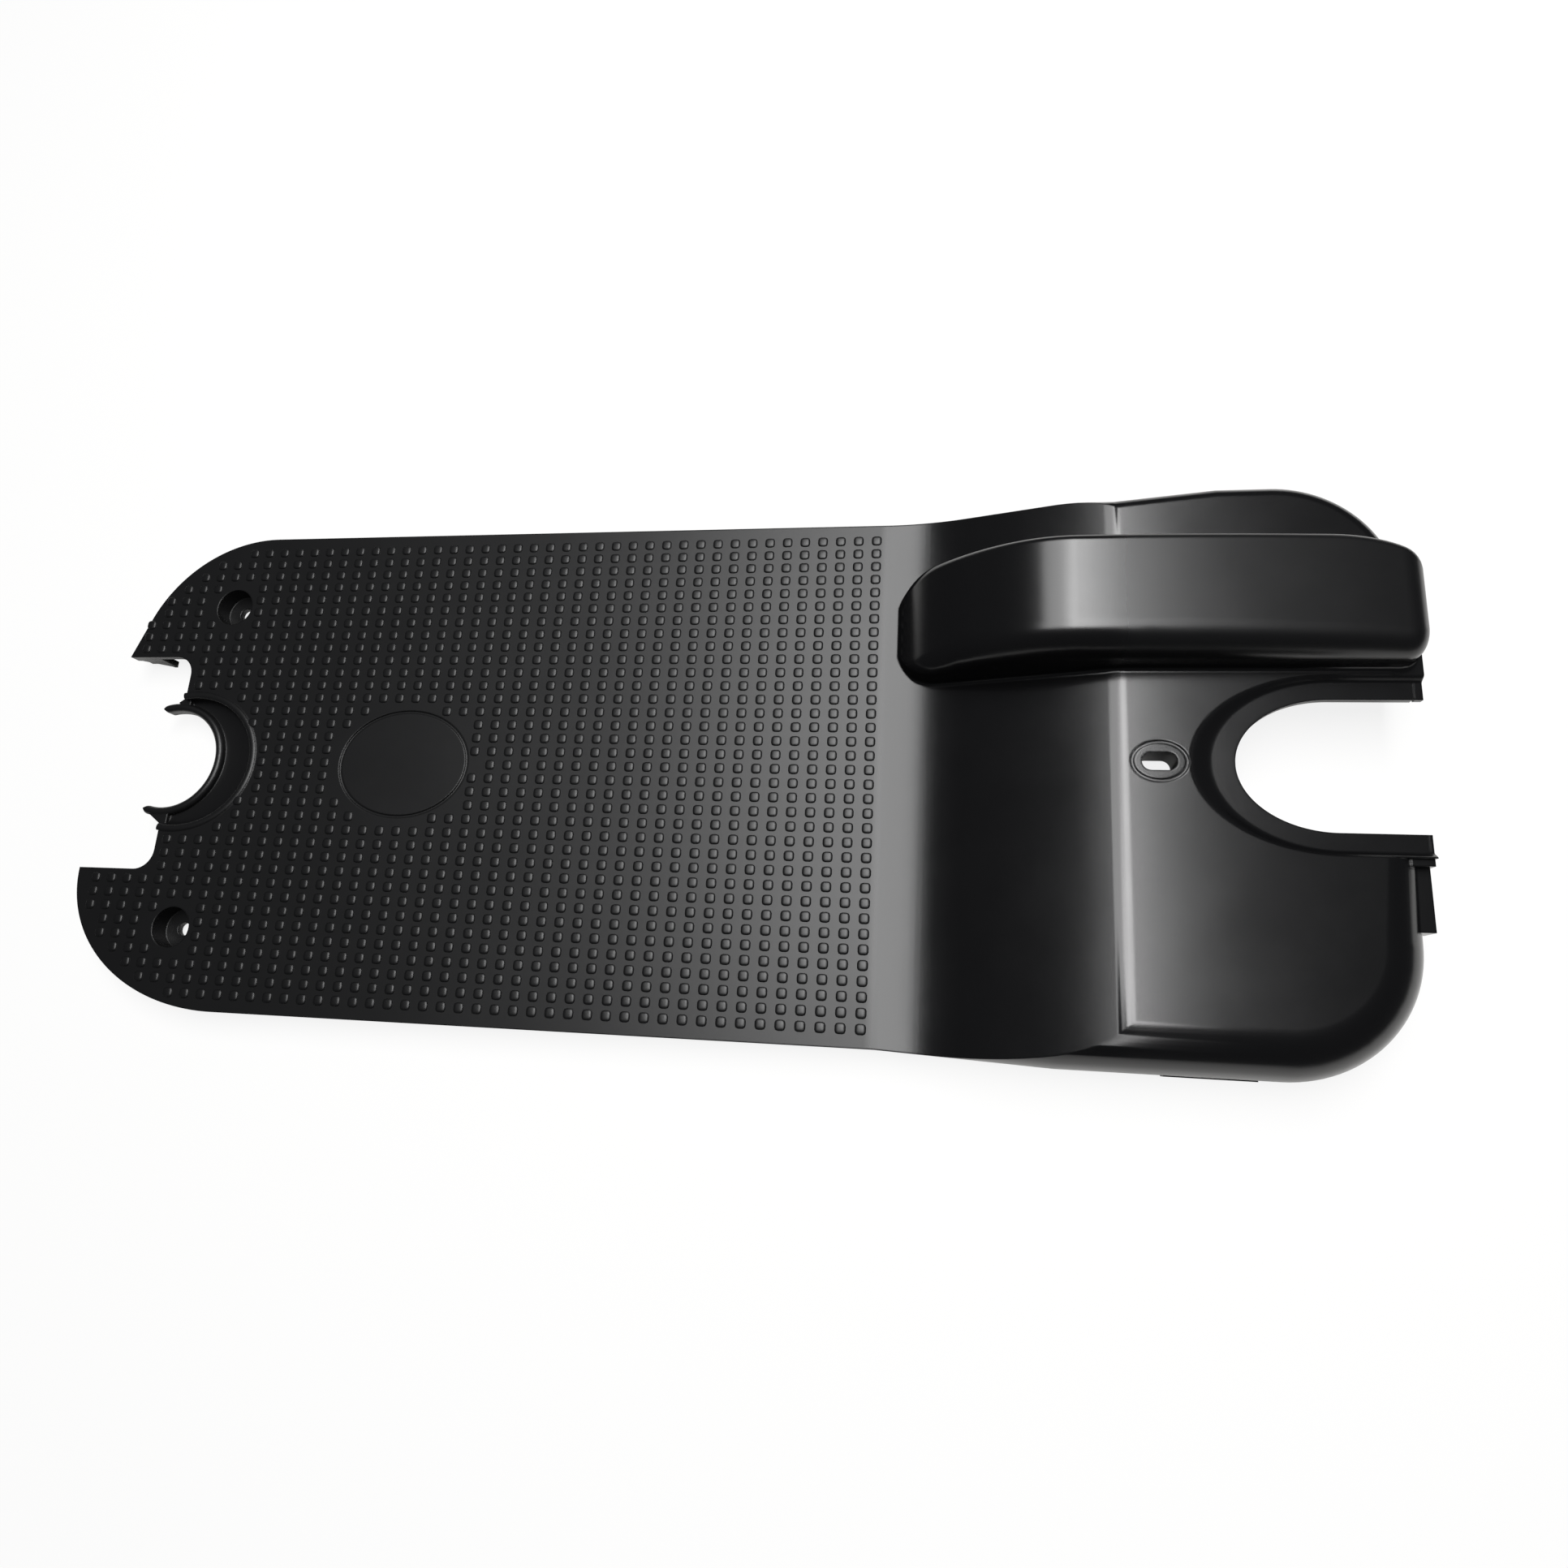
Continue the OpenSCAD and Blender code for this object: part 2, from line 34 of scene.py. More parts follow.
view = {
    "place": (104.2, -107.6, 414.4),
    "right": (0.98833, 0.05328, -0.14268),
    "up": (-0.01655, 0.96883, 0.24716),
    "back": (0.1514, -0.24192, 0.95841),
    "lens": 22.73,
    "sensor": 36.0,
}


def placeCamera():
    data = bpy.data.cameras.new("camera")
    data.lens = view["lens"]
    data.sensor_width = view["sensor"]
    data.sensor_fit = "HORIZONTAL"
    data.clip_start = 0.01
    data.clip_end = 20
    eye = bpy.data.objects.new("camera", data)
    bpy.context.collection.objects.link(eye)
    turn = Matrix((view["right"], view["up"], view["back"])).transposed()
    eye.matrix_world = Matrix.Translation(Vector(view["place"]) * mm) @ turn.to_4x4()
    bpy.context.scene.camera = eye


# Plans

def arcPoints(cx, cy, rx, ry, a0, a1, steps):
    points = []
    for i in range(steps + 1):
        a = math.radians(a0 + (a1 - a0) * i / steps)
        points.append((cx + rx * math.cos(a), cy + ry * math.sin(a)))
    return points


def mirrored(points):
    return [(x, -y) for x, y in reversed(points)]


def shifted(points, dx, dy):
    return [(x + dx, y + dy) for x, y in points]


def atHeight(points, z):
    return [(x, y, z) for x, y in points]


def stadium(length, width):
    r = width / 2
    reach = (length - width) / 2
    return arcPoints(reach, 0, r, r, -90, 90, 16) + arcPoints(-reach, 0, r, r, 90, 270, 16)


def ellipse(length, width, steps=72):
    return arcPoints(0, 0, length / 2, width / 2, 0, 360, steps)[:-1]


def cornerCut(d, r):
    # how far a quarter circle of radius r has drawn in, at distance d from its end
    if d >= r:
        return 0.0
    return r - math.sqrt(max(0.0, r * r - (r - d) ** 2))


# Mesh tools

def pickOnly(piece):
    bpy.ops.object.select_all(action="DESELECT")
    bpy.context.view_layer.objects.active = piece
    piece.select_set(True)


def openForEdit(piece, mode="FACE"):
    pickOnly(piece)
    bpy.ops.object.mode_set(mode="EDIT")
    bpy.ops.mesh.select_mode(type=mode)
    bpy.ops.mesh.select_all(action="DESELECT")
    bpy.ops.object.mode_set(mode="OBJECT")


def block(name, low, high):
    bpy.ops.object.select_all(action="DESELECT")
    bpy.ops.mesh.primitive_cube_add(
        size=1,
        location=[(a + b) / 2 * mm for a, b in zip(low, high)],
        scale=[(b - a) * mm for a, b in zip(low, high)])
    piece = bpy.context.object
    piece.name = name
    bpy.ops.object.transform_apply(location=True, rotation=False, scale=True)
    return piece


def tube(name, cx, cy, radius, low, high, steps=96):
    bpy.ops.object.select_all(action="DESELECT")
    bpy.ops.mesh.primitive_cylinder_add(
        vertices=steps, radius=radius * mm, depth=(high - low) * mm,
        location=(cx * mm, cy * mm, (low + high) / 2 * mm))
    piece = bpy.context.object
    piece.name = name
    bpy.ops.object.transform_apply(location=True, rotation=False, scale=False)
    return piece


def prism(name, outline, low, high):
    # the outline is filled at the top and extruded down
    mesh = bpy.data.meshes.new(name)
    mesh.from_pydata([(x * mm, y * mm, high * mm) for x, y in outline], [], [range(len(outline))])
    piece = bpy.data.objects.new(name, mesh)
    bpy.context.collection.objects.link(piece)
    pickOnly(piece)
    bpy.ops.object.mode_set(mode="EDIT")
    bpy.ops.mesh.select_all(action="SELECT")
    bpy.ops.mesh.extrude_region_move(TRANSFORM_OT_translate={"value": (0, 0, (low - high) * mm)})
    bpy.ops.mesh.select_all(action="SELECT")
    bpy.ops.mesh.normals_make_consistent(inside=False)
    bpy.ops.object.mode_set(mode="OBJECT")
    return piece


# Shapes that are known by their sections, such as the shoulder and the bulge, are skinned ring
# by ring. Skewed faces are split, because the booleans need flat ones.
def loft(name, rings):
    n = len(rings[0])
    verts = [p for ring in rings for p in ring]
    faces = [list(range(n))]
    for k in range(len(rings) - 1):
        for i in range(n):
            a = k * n + i
            b = k * n + (i + 1) % n
            faces.append([a, b, b + n, a + n])
    faces.append([len(verts) - n + i for i in range(n)])
    mesh = bpy.data.meshes.new(name)
    mesh.from_pydata([(x * mm, y * mm, z * mm) for x, y, z in verts], [], faces)
    body = bmesh.new()
    body.from_mesh(mesh)
    bmesh.ops.connect_verts_nonplanar(body, angle_limit=math.radians(0.01), faces=body.faces)
    bmesh.ops.recalc_face_normals(body, faces=body.faces)
    body.to_mesh(mesh)
    body.free()
    piece = bpy.data.objects.new(name, mesh)
    bpy.context.collection.objects.link(piece)
    return piece


def combine(target, tool, operation):
    modifier = target.modifiers.new("cut", "BOOLEAN")
    modifier.operation = operation
    modifier.solver = "EXACT"
    modifier.object = tool
    pickOnly(target)
    bpy.ops.object.modifier_apply(modifier=modifier.name)
    bpy.data.objects.remove(tool, do_unlink=True)
    return target


def shadeByAngle(piece, degrees):
    for face in piece.data.polygons:
        face.use_smooth = True
    piece.data.set_sharp_from_angle(angle=math.radians(degrees))
    modifier = piece.modifiers.new("normals", "WEIGHTED_NORMAL")
    modifier.mode = "FACE_AREA"    # the large flats stay flat up to their rounded edges
    modifier.weight = 50
    modifier.keep_sharp = True
    pickOnly(piece)
    bpy.ops.object.modifier_apply(modifier=modifier.name)


# Deck, with an oval corner on the near side and a rounder one on the drive side

deck = {
    "frontX": -285.0,
    "rearX": 285.0,
    "halfWidth": 112.8,
    "height": 14.0,
    "wall": 3.0,
    "cornerReach": 80.0,
    "cornerSpread": 61.0,
    "driveReach": 69.5,
    "driveRadius": 64.5,
    "driveTurn": 160.0,
    "tipCut": 2.0,
}


def deckOutline(inset, endX):
    end = [(endX, deck["halfWidth"] - inset)]
    near = arcPoints(
        deck["frontX"] + deck["cornerReach"], deck["halfWidth"] - deck["cornerSpread"],
        deck["cornerReach"] - inset, deck["cornerSpread"] - inset, 180, 90, 40)
    radius = deck["driveRadius"]
    tipX = deck["frontX"] + deck["tipCut"] + inset / math.sin(math.radians(deck["driveTurn"] - 90))
    drive = [(tipX, deck["halfWidth"] - deck["cornerSpread"])]
    drive += arcPoints(deck["frontX"] + deck["driveReach"], deck["halfWidth"] - radius,
                       radius - inset, radius - inset, deck["driveTurn"], 90, 36)
    return drive + end + mirrored(near + end)


# Front gap, its broken wall and what is left of the flange at the drive-side tip

gap = {
    "halfWidth": 51.5,
    "x": -248.7,
    "fillet": 9.0,
    "breakX": -269.0,
    "breakY": 28.5,
    "breakEdge": [(-286.0, -1.0), (-286.0, 9.5), (-281.0, 9.0), (-277.0, 6.0), (-271.0, 1.2),
                  (-270.0, -1.0)],
    "flangePlace": (-279.0, 51.5),
    "flangeEdge": [(0, 1), (0.5, -1), (7, -1.9), (10.5, -3.6), (14.5, -4.4), (14, -2.4),
                   (10, -1.2), (8, 1)],
    "flangeLow": 5.0,
    "flangeHigh": 11.0,
}


def gapPlan(margin):
    r = gap["fillet"] + margin
    side = [(deck["frontX"] - past - margin, gap["halfWidth"] + margin)]
    side += arcPoints(gap["x"] + margin - r, gap["halfWidth"] + margin - r, r, r, 90, 0, 10)
    return side + mirrored(side)


def tipBreak():
    y0 = gap["halfWidth"] - past
    y1 = gap["halfWidth"] + deck["wall"] + lap
    return loft("tipBreak", [[(x, y, z) for x, z in gap["breakEdge"]] for y in (y0, y1)])


def tornFlange():
    outline = shifted(gap["flangeEdge"], *gap["flangePlace"])
    return prism("torn", outline, gap["flangeLow"], gap["flangeHigh"])


# Ramp and platform

ramp = {"startX": 81.0, "topX": 174.0, "rise": 20.0, "blend": 34.0, "edge": 7.0}

platformZ = deck["height"] + ramp["rise"]


def rampHeight(x):
    slope = ramp["rise"] / (ramp["topX"] - ramp["startX"] - ramp["blend"] / 2)
    d = x - ramp["startX"]
    left = ramp["topX"] + ramp["edge"] / 2 - x
    if d <= 0:
        return 0.0
    if d < ramp["blend"]:
        return slope * d * d / (2 * ramp["blend"])
    if left > ramp["edge"]:
        return slope * (d - ramp["blend"] / 2)
    if left > 0:
        return ramp["rise"] - slope * left * left / (2 * ramp["edge"])
    return ramp["rise"]


# Rear part: it flares past the deck, and its near edge has the large shoulder

rear = {
    "wallX": 281.8,
    "nearFlare": 150.0,
    "nearHalf": 116.0,
    "nearCorner": 51.0,
    "driveFlare": 215.0,
    "driveBend": 175.0,
    "driveHalf": 116.8,
    "driveCorner": 46.0,
    "nearRadius": 19.5,
    "driveRadius": 6.0,
    "stepY0": -35.0,
    "stepY1": 85.4,
    "stepDrop": 0.4,
}


def rearSide(inset, startX, bendX, flareX, half, corner):
    side = [(startX, deck["halfWidth"] - inset), (bendX, deck["halfWidth"] - inset),
            (flareX, half - inset)]
    side += arcPoints(rear["wallX"] - corner, half - corner, corner - inset, corner - inset, 90, 0, 28)
    return side


def rearOutline(driveInset, nearInset, startX):
    drive = rearSide(driveInset, startX, rear["driveBend"], rear["driveFlare"], rear["driveHalf"],
                     rear["driveCorner"])
    near = rearSide(nearInset, startX, startX + 1, rear["nearFlare"], rear["nearHalf"],
                    rear["nearCorner"])
    return drive + mirrored(near)


def profilePrism(name, drop, startX, endX):
    # the side view of ramp and platform, drawn across the whole width
    top = [(startX, deck["height"] - drop)]
    for i in range(31):
        x = ramp["startX"] + ramp["blend"] * i / 30
        top.append((x, deck["height"] + rampHeight(x) - drop))
    for i in range(11):
        x = ramp["topX"] - ramp["edge"] / 2 + ramp["edge"] * i / 10
        top.append((x, deck["height"] + rampHeight(x) - drop))
    top.append((endX, platformZ - drop))
    outline = top + [(endX, -past), (startX, -past)]
    reach = rear["driveHalf"] + 10
    return loft(name, [[(x, y, z) for x, z in outline] for y in (-reach, reach)])


def shoulderBlock(name, inset, bottom, top, startX):
    near = rear["nearRadius"] - inset
    drive = rear["driveRadius"] - inset
    rings = []
    steps = 18
    for i in range(steps, -1, -1):
        depth = near * (1 - math.sin(math.radians(90 * i / steps)))
        outline = rearOutline(inset + cornerCut(depth, drive), inset + cornerCut(depth, near), startX)
        rings.append(atHeight(outline, top - depth))
    rings.append(atHeight(rearOutline(inset, inset, startX), bottom))
    return loft(name, rings)


def outerForm():
    body = shoulderBlock("outer", 0, 0, platformZ + 0.02, ramp["startX"])
    combine(body, profilePrism("profile", 0, ramp["startX"] - past, deck["rearX"] + past), "INTERSECT")
    front = prism("front", deckOutline(0, ramp["startX"] + lap), 0, deck["height"])
    combine(body, front, "UNION")
    x0 = rear["wallX"] - rear["driveCorner"]
    step = block("step", (x0, rear["stepY0"], 0),
                 (deck["rearX"], rear["stepY1"], platformZ - rear["stepDrop"]))
    return combine(body, step, "UNION")


def hollowForm():
    wall = deck["wall"]
    body = shoulderBlock("hollow", wall, -past, platformZ - wall + 0.02, ramp["startX"])
    combine(body, profilePrism("profile", wall, ramp["startX"] - past, deck["rearX"] + past),
            "INTERSECT")
    front = prism("front", deckOutline(wall, ramp["startX"] + past), -past, deck["height"] - wall)
    gapWall = prism("gapWall", gapPlan(wall), -2 * past, deck["height"])
    broken = block("broken", (gap["breakX"], gap["breakY"], -3 * past),
                   (gap["x"] + wall + past, gap["halfWidth"] + wall + past, deck["height"] + past))
    combine(gapWall, broken, "DIFFERENCE")
    combine(front, gapWall, "DIFFERENCE")
    combine(body, front, "UNION")
    x0 = rear["wallX"] - rear["driveCorner"]
    step = block("step", (x0, rear["stepY0"] + wall, -past),
                 (deck["rearX"] - wall, rear["stepY1"] - wall, platformZ - wall - rear["stepDrop"]))
    return combine(body, step, "UNION")


# Bulge over the drive, with a rounded nose on the ramp and a fillet along its foot

bulge = {
    "y": 61.3,
    "half": 23.7,
    "rise": 42.5,
    "noseX": 86.6,
    "noseLength": 70.0,
    "nosePower": 0.8,
    "noseCorner": 17.0,
    "endX": 283.5,
    "endCorner": 8.0,
    "driveEndReach": 34.0,
    "driveEndDepth": 13.0,
    "fall": 6.0,
    "nearEdge": 12.0,
    "driveEdge": 3.5,
    "foot": 3.0,
    "firstRing": 0.6,
}


def bulgeHalf(x, inset, reach, depth):
    return (bulge["half"] - inset
            - cornerCut(x - bulge["noseX"] - inset, bulge["noseCorner"])
            - cornerCut(bulge["endX"] - inset - x, reach) * depth / reach)


def bulgeHalves(x, inset):
    return (bulgeHalf(x, inset, bulge["driveEndReach"], bulge["driveEndDepth"]),
            bulgeHalf(x, inset, bulge["endCorner"], bulge["endCorner"]))


def bulgeTop(x, inset):
    straight = bulge["endX"] - bulge["noseX"] - bulge["noseLength"]
    t = min(1.0, max(0.0, (x - bulge["noseX"] - inset) / bulge["noseLength"]))
    along = max(0.0, (x - bulge["noseX"] - bulge["noseLength"]) / straight)
    climb = math.sin(math.radians(90 * t)) ** bulge["nosePower"]
    return (deck["height"] + bulge["rise"] * climb - bulge["fall"] * along * along
            - cornerCut(bulge["endX"] - inset - x, bulge["endCorner"]) - inset)


def bulgeStations():
    # rings stand closest at the nose and at the rear end
    first = bulge["firstRing"]
    corner = bulge["driveEndReach"]
    straight = bulge["endX"] - bulge["noseX"] - bulge["noseLength"] - corner
    places = [first + (bulge["noseLength"] - first) * (i / 36) ** 1.6 for i in range(37)]
    places += [bulge["noseLength"] + straight * i / 14 for i in range(1, 15)]
    places += [bulge["noseLength"] + straight + corner * math.sin(math.radians(5 * i))
               for i in range(1, 19)]
    return places


def bulgeRing(x, drive, near):
    ring = [(x, bulge["y"] + y, z) for y, z in drive]
    ring += [(x, bulge["y"] - y, z) for y, z in reversed(near)]
    return ring


def skinSection(half, base, top, radius):
    climb = top - base
    edge = min(radius, climb * 0.55, half * 0.6)
    foot = min(bulge["foot"], climb * 0.3)
    side = [(half + foot * (1 + math.cos(math.radians(260))), base - 2)]
    for y, z in arcPoints(half + foot, base + foot, foot, foot, 260, 180, 10):
        side.append((y, z))
    return side + arcPoints(half - edge, top - edge, edge, edge, 0, 90, 14)


def hollowSection(half, top, radius):
    edge = min(max(radius - deck["wall"], lap), half * 0.6)
    return [(half, -past)] + arcPoints(half - edge, top - edge, edge, edge, 0, 90, 8)


def bulgeSkin():
    rings = []
    for place in bulgeStations():
        x = bulge["noseX"] + place
        base = deck["height"] + rampHeight(x) - 0.4
        top = max(bulgeTop(x, 0), base + 1)
        driveHalf, nearHalf = bulgeHalves(x, 0)
        drive = skinSection(driveHalf, base, top, bulge["driveEdge"])
        near = skinSection(nearHalf, base, top, bulge["nearEdge"])
        rings.append(bulgeRing(x, drive, near))
    return loft("bulge", rings)


def bulgeHollow():
    wall = deck["wall"]
    span = bulge["endX"] - bulge["noseX"]
    roof = deck["height"] - wall - lap
    rings = []
    for place in bulgeStations():
        x = bulge["noseX"] + wall + place * (span - 2 * wall) / span
        top = max(bulgeTop(x, wall), roof)
        driveHalf, nearHalf = bulgeHalves(x, wall)
        drive = hollowSection(driveHalf, top, bulge["driveEdge"])
        near = hollowSection(nearHalf, top, bulge["nearEdge"])
        rings.append(bulgeRing(x, drive, near))
    return loft("bulgeHollow", rings)


# Collar for the steering tube: a bowl, a lip that ends in two horns, gussets beside them, and
# a bead round the rim

collar = {
    "tubeX": -252.9,
    "tubeY": 1.5,
    "tubeRadius": 23.4,
    "rimX": -242.8,
    "rimReach": 33.0,
    "rimSpread": 30.5,
    "depth": 4.5,
    "lip": 4.0,
    "lipDrop": 1.6,
    "hornReach": 10.6,
    "round": 0.6,
    "gussetX": -247.7,
    "gussetNear": [(0, -31.5), (-1.5, -31.0), (-9.5, -25.3), (-6, -22.5), (0, -22.5)],
    "gussetDrive": [(0, 33), (-1.5, 32.5), (-6, 29.2), (-4, 26), (0, 26)],
    "gussetLow": 7.1,
    "gussetHigh": 11.7,
    "beadMiddle": 1.7,
    "beadHalf": 1.6,
    "beadHeight": 0.8,
    "beadTurn": 101.0,
}


def collarBowl():
    def ring(t, grow, z):
        along = collar["rimReach"] + (lipRadius - collar["rimReach"]) * t + grow
        across = collar["rimSpread"] + (lipRadius - collar["rimSpread"]) * t + grow
        cx = collar["rimX"] + (collar["tubeX"] - collar["rimX"]) * t
        return atHeight(arcPoints(cx, collar["tubeY"] * t, along, across, 0, 360, 120)[:-1], z)

    lipRadius = collar["tubeRadius"] + collar["lip"]
    rings = [ring(0, collar["round"], deck["height"] + past)]
    for i in range(19):
        a = math.radians(5 * i)
        drop = collar["round"] + (collar["depth"] - collar["round"]) * math.sin(a)
        rings.append(ring(1 - math.cos(a), 0, deck["height"] - drop))
    return loft("bowl", rings)


def collarSeat():
    low = deck["height"] - collar["depth"] - deck["wall"]
    seat = tube("seat", collar["rimX"], 0, collar["rimReach"] + deck["wall"], low,
                deck["height"] - lap)
    behindGap = block("behindGap", (gap["x"], -60, -5), (0, 60, 40))
    return combine(seat, behindGap, "INTERSECT")


def lipSection(width, low, high):
    r = width * 0.48
    side = [(-width / 2, low), (width / 2, low)]
    return side + arcPoints(0, high - r, width / 2, r, 0, 180, 8)


def tubeLip():
    low = deck["height"] - collar["depth"] - deck["wall"] + lap
    high = deck["height"] - collar["lipDrop"]
    middle = collar["tubeRadius"] + collar["lip"] / 2
    reach = 3 + math.degrees(math.acos((gap["x"] - collar["hornReach"] - collar["tubeX"]) / middle))
    stations = []
    steps = 72
    for i in range(-steps, steps + 1):
        end = reach - reach * abs(i) / steps    # degrees left to the tip of the horn
        shrink = math.sqrt(max(0.02, 1 - max(0.0, 1 - end / 4.5) ** 2))
        a = math.radians(reach * i / steps)
        section = lipSection(collar["lip"] * shrink, low, high)
        stations.append([(collar["tubeX"] + (middle + r) * math.cos(a),
                          collar["tubeY"] + (middle + r) * math.sin(a), z) for r, z in section])
    return loft("lip", stations)


def gussets():
    pieces = []
    for outline in (collar["gussetNear"], collar["gussetDrive"]):
        pieces.append(prism("gusset", shifted(outline, collar["gussetX"], 0),
                            collar["gussetLow"], collar["gussetHigh"]))
    return pieces


def rimBead():
    side = arcPoints(collar["beadMiddle"], 0, collar["beadHalf"], collar["beadHeight"], 0, 180, 12)
    side += [(collar["beadMiddle"] - collar["beadHalf"], -0.4),
             (collar["beadMiddle"] + collar["beadHalf"], -0.4)]
    stations = []
    for i in range(97):
        a = math.radians(collar["beadTurn"] * (i - 48) / 48)
        stations.append([(collar["rimX"] + (collar["rimReach"] + r) * math.cos(a),
                          (collar["rimSpread"] + r) * math.sin(a), deck["height"] + z)
                         for r, z in side])
    return loft("bead", stations)


# Rear notch for the post, and the ring that is set into the platform round it

post = {
    "x": 251.8,
    "reach": 35.1,
    "half": 25.9,
    "ringFront": 8.4,
    "ringSide": 6.5,
    "slopeFront": 8.8,
    "slopeSide": 2.6,
    "drop": 3.0,
    "step": 0.45,
    "openHalf": 37.0,
    "openX": 272.8,
    "armEndX": 283.2,
    "web": ((274.8, -37.6, 26.2), (283.0, -34.0, 31.5)),
}

ringZ = platformZ - post["drop"]


def uPlan(along, across, endX):
    side = arcPoints(post["x"], 0, post["reach"] + along, post["half"] + across, 178, 90, 40)
    side.append((endX, post["half"] + across))
    return side + mirrored(side)


def ringRecess():
    endX = deck["rearX"] + past
    rings = [atHeight(uPlan(post["ringFront"] + post["slopeFront"],
                            post["ringSide"] + post["slopeSide"], endX), platformZ + past)]
    for i in range(13):
        t = i / 12
        down = post["step"] + (post["drop"] - post["step"]) * (1 - math.cos(math.pi * t)) / 2
        rings.append(atHeight(uPlan(post["ringFront"] + post["slopeFront"] * (1 - t),
                                    post["ringSide"] + post["slopeSide"] * (1 - t), endX),
                              platformZ - down))
    return loft("recess", rings)


def postPad():
    plan = uPlan(post["ringFront"] + post["slopeFront"] + deck["wall"],
                 post["ringSide"] + post["slopeSide"], rear["wallX"] - lap)
    return prism("postPad", plan, ringZ - deck["wall"], platformZ - lap)


def openRearWall(body):
    # the rear wall is open under the ring, and the near arm keeps a short web beside it
    reach = post["openHalf"]
    opening = block("wallOpening", (post["openX"], -reach, -3),
                    (deck["rearX"] + 3, reach, ringZ - deck["wall"] + lap))
    combine(body, opening, "DIFFERENCE")
    combine(body, block("web", *post["web"]), "UNION")
    armEnd = block("armEnd", (post["armEndX"], -70, -past), (deck["rearX"] + past, -20, platformZ + past))
    combine(body, armEnd, "DIFFERENCE")


# Small parts: rear tab, side lugs, screw seats, slot, oval panel and ribs

tab = {"root": 6.0, "y0": -61.0, "y1": -36.0, "low": 17.0, "high": 26.6}

lugs = {"x": 190.9, "length": 34.0, "reach": 0.6, "low": 3.0, "high": 8.0}

screws = {
    "x": -232.6,
    "y": 77.1,
    "hole": 6.0,
    "bore": 18.0,
    "boreDepth": 8.5,
    "wall": 3.0,
    "skin": 3.0,
    "pocket": 15.0,
}

slot = {
    "x": 188.6,
    "length": 13.2,
    "width": 7.2,
    "seatLength": 21.6,
    "seatWidth": 16.6,
    "boss": 10.0,
    "bossWall": 3.0,
    "groove": 1.3,
    "depth": 0.8,
}

panel = {"x": -133.0, "length": 62.0, "width": 50.0, "groove": 1.2, "depth": 0.7}

ribs = {"thickness": 2.0, "depth": 6.0, "spacing": 48.0, "start": 1.5}


def addTabAndLugs(body):
    piece = block("tab", (rear["wallX"] - tab["root"], tab["y0"], tab["low"]),
                  (deck["rearX"], tab["y1"], tab["high"]))
    combine(body, piece, "UNION")
    for y in (-rear["nearHalf"], rear["driveHalf"]):
        piece = block("lug", (lugs["x"], y - lugs["reach"], lugs["low"]),
                      (lugs["x"] + lugs["length"], y + lugs["reach"], lugs["high"]))
        combine(body, piece, "UNION")


def grooveRing(cx, length, width, thickness, top, depth):
    outer = shifted(ellipse(length, width), cx, 0)
    inner = shifted(ellipse(length - 2 * thickness, width - 2 * thickness), cx, 0)
    ring = prism("groove", outer, top - depth, top + past)
    return combine(ring, prism("island", inner, top - depth - past, top + 2 * past), "DIFFERENCE")


def addBosses(body):
    outline = stadium(slot["length"] + 2 * slot["bossWall"], slot["width"] + 2 * slot["bossWall"])
    roof = platformZ - deck["wall"]
    boss = prism("boss", shifted(outline, slot["x"], 0), roof - slot["boss"], roof + lap)
    combine(body, boss, "UNION")
    for side in (-1, 1):
        radius = screws["bore"] / 2 + screws["wall"]
        boss = tube("screwBoss", screws["x"], side * screws["y"], radius, 0, deck["height"] - lap)
        combine(body, boss, "UNION")


def addRibs(body):
    top = deck["height"] - deck["wall"]
    low = top - ribs["depth"]
    reach = deck["halfWidth"] - deck["wall"] / 2
    half = ribs["thickness"] / 2
    x = deck["frontX"] + deck["cornerReach"] + ribs["thickness"]
    while x <= ramp["startX"]:
        rib = block("rib", (x, -reach, low), (x + ribs["thickness"], reach, top + lap))
        combine(body, rib, "UNION")
        x += ribs["spacing"]
    for side in (-1, 1):
        y = side * screws["y"] / 2
        rib = block("rib", (gap["x"] + ribs["start"], y - half, low),
                    (ramp["startX"] + ribs["start"], y + half, top + lap))
        combine(body, rib, "UNION")


def drillScrews(body):
    seat = deck["height"] - screws["boreDepth"]
    for side in (-1, 1):
        y = side * screws["y"]
        combine(body, tube("bore", screws["x"], y, screws["bore"] / 2, seat, deck["height"] + past),
                "DIFFERENCE")
        combine(body, tube("hole", screws["x"], y, screws["hole"] / 2, -past, deck["height"], 48),
                "DIFFERENCE")
        combine(body, tube("pocket", screws["x"], y, screws["pocket"] / 2, -past,
                           seat - screws["skin"]), "DIFFERENCE")


# The moulding, in one piece

